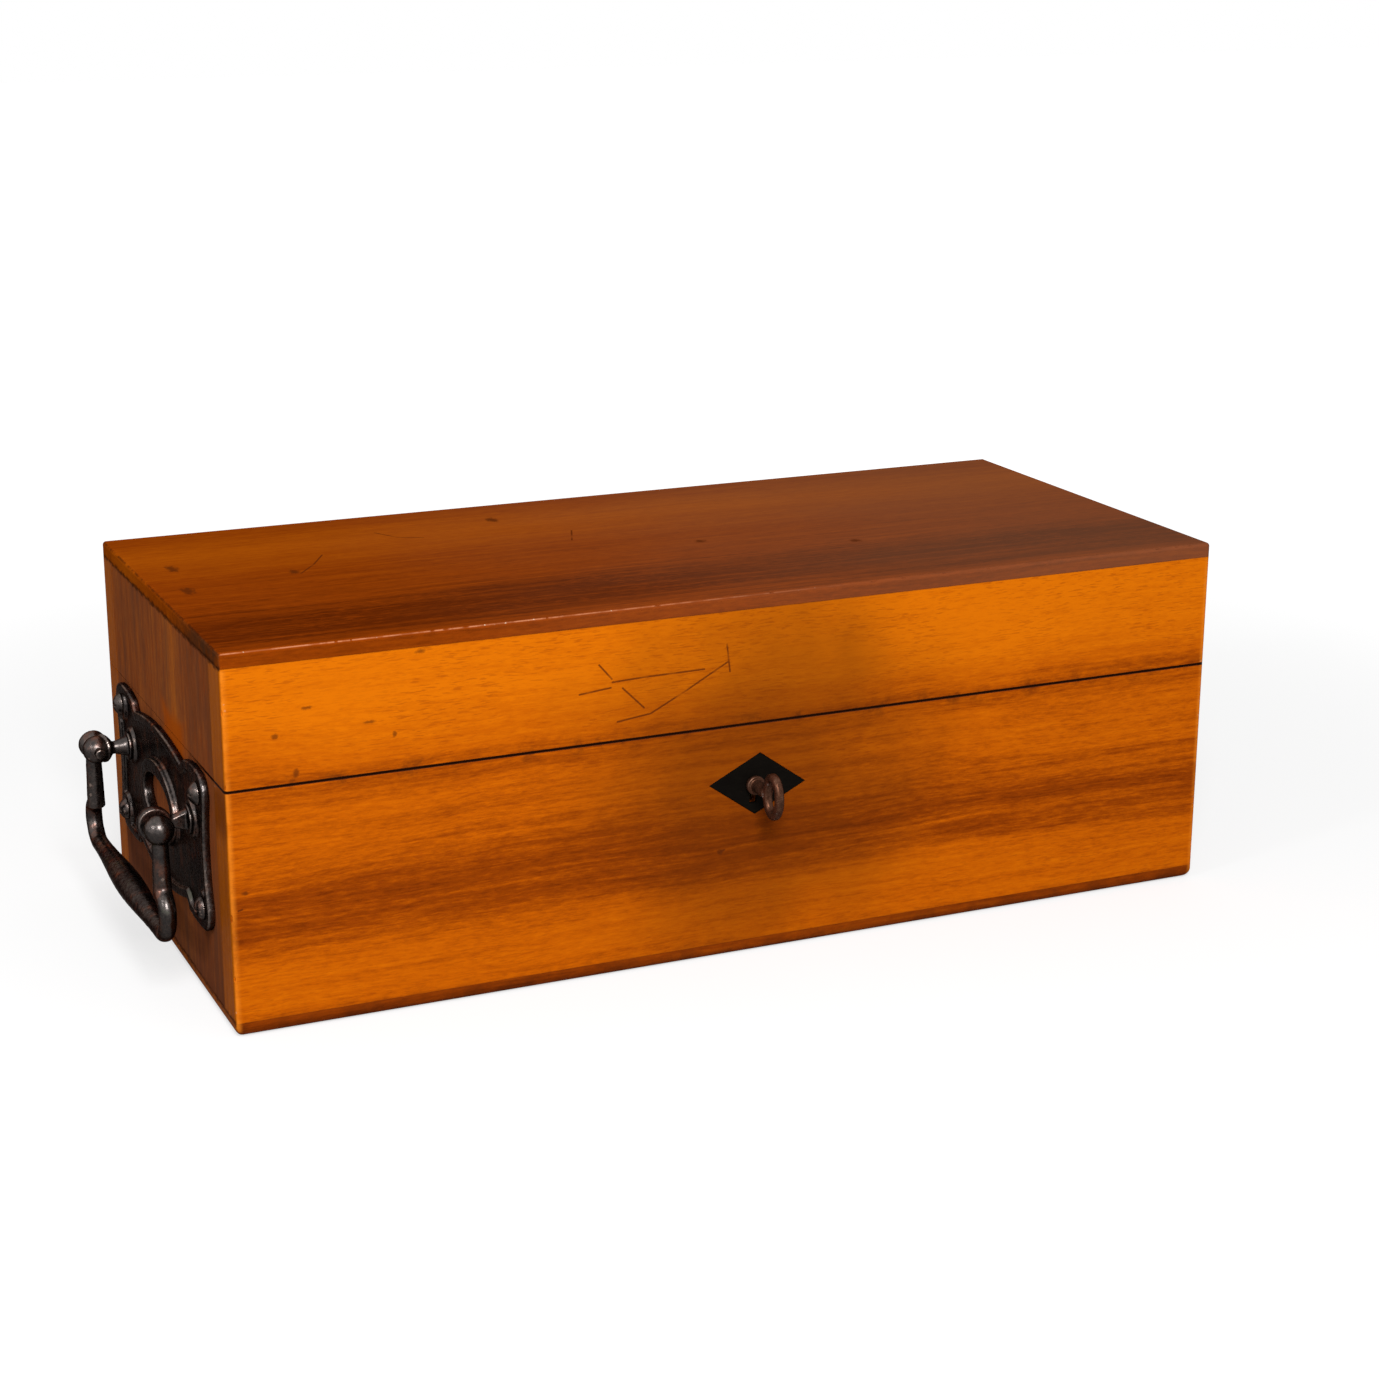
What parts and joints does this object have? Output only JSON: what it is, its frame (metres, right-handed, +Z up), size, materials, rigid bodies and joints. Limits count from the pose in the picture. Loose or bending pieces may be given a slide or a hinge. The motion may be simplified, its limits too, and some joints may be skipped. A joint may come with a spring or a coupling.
{
  "type": "microscope case",
  "caption": "Upright or lying wooden box with a hinged, locking lid, a key in a black diamond plate and a swan-neck carrying handle on one end.",
  "frame": {"origin": "centre of the case's underside", "axes": "+X along the case, away from the handle; +Y from the keyhole to the hinges; +Z up"},
  "size_m": [0.3616, 0.1764, 0.1207],
  "materials": {
    "case_wood": "polished, worn",
    "fitting_wood": "plain, oiled",
    "ebony": "polished",
    "lock_brass": "dull",
    "hinge_brass": "worn satin",
    "screw_brass": "dull",
    "handle_bronze": "dark bronzed, rubbed bright on the high spots",
    "key_iron": "brown rusted",
    "baize": "felted"
  },
  "bodies": {
    "body": {"bottom_board": "case_wood", "front_board": "case_wood", "back_board": "case_wood", "left_end_board": "case_wood", "right_end_board": "case_wood", "keyhole_plate": "ebony", "lock_plate": "lock_brass", "lock_cap": "lock_brass", "lock_screws": "screw_brass", "hinge_body_screws": "screw_brass", "handle_backplate": "handle_bronze", "handle_front_post": "handle_bronze", "handle_rear_post": "handle_bronze", "handle_screws": "handle_bronze", "tube_cradle": "fitting_wood", "tube_cradle_baize": "baize", "foot_block": "fitting_wood", "accessory_rack": "fitting_wood", "left_hinge_body_leaf": "hinge_brass", "left_hinge_pin": "hinge_brass", "right_hinge_body_leaf": "hinge_brass", "right_hinge_pin": "hinge_brass"},
    "lid": {"lid_top_board": "case_wood", "lid_front_board": "case_wood", "lid_back_board": "case_wood", "lid_left_end_board": "case_wood", "lid_right_end_board": "case_wood", "link_plate": "lock_brass", "link_screws": "screw_brass", "hinge_lid_screws": "screw_brass", "left_hinge_lid_leaf": "hinge_brass", "right_hinge_lid_leaf": "hinge_brass", "lid_hold_down": "fitting_wood", "lid_hold_down_baize": "baize"},
    "bail": {"handle_bail": "handle_bronze"},
    "lock_pin": {"lock_pin": "key_iron"},
    "key": {"key": "key_iron"},
    "bolt": {"lock_bolt": "lock_brass"}
  },
  "joints": [
    {"name": "lid_hinge", "type": "hinge", "parent": "body", "child": "lid", "pos_m": [0, 0.0774, 0.07823], "axis": [-1, 0, 0], "range_deg": [0, 100]},
    {"name": "bail_swing", "type": "hinge", "parent": "body", "child": "bail", "pos_m": [-0.18475, 0, 0.059], "axis": [0, 1, 0], "range_deg": [-8, 190]},
    {"name": "key_turn", "type": "hinge", "parent": "body", "child": "lock_pin", "pos_m": [0.0005, -0.0762, 0.0578], "axis": [0, 1, 0], "range_deg": [0, 360]},
    {"name": "key_withdraw", "type": "slide", "parent": "lock_pin", "child": "key", "axis": [0, -1, 0], "range_m": [0, 0.045]},
    {"name": "bolt_slide", "type": "slide", "parent": "body", "child": "bolt", "axis": [1, 0, 0], "range_m": [0, 0.006]}
  ],
  "couplings": [
    {"joint": "key_turn", "follows": "bolt_slide", "rad_per_m": 1047.2}
  ]
}
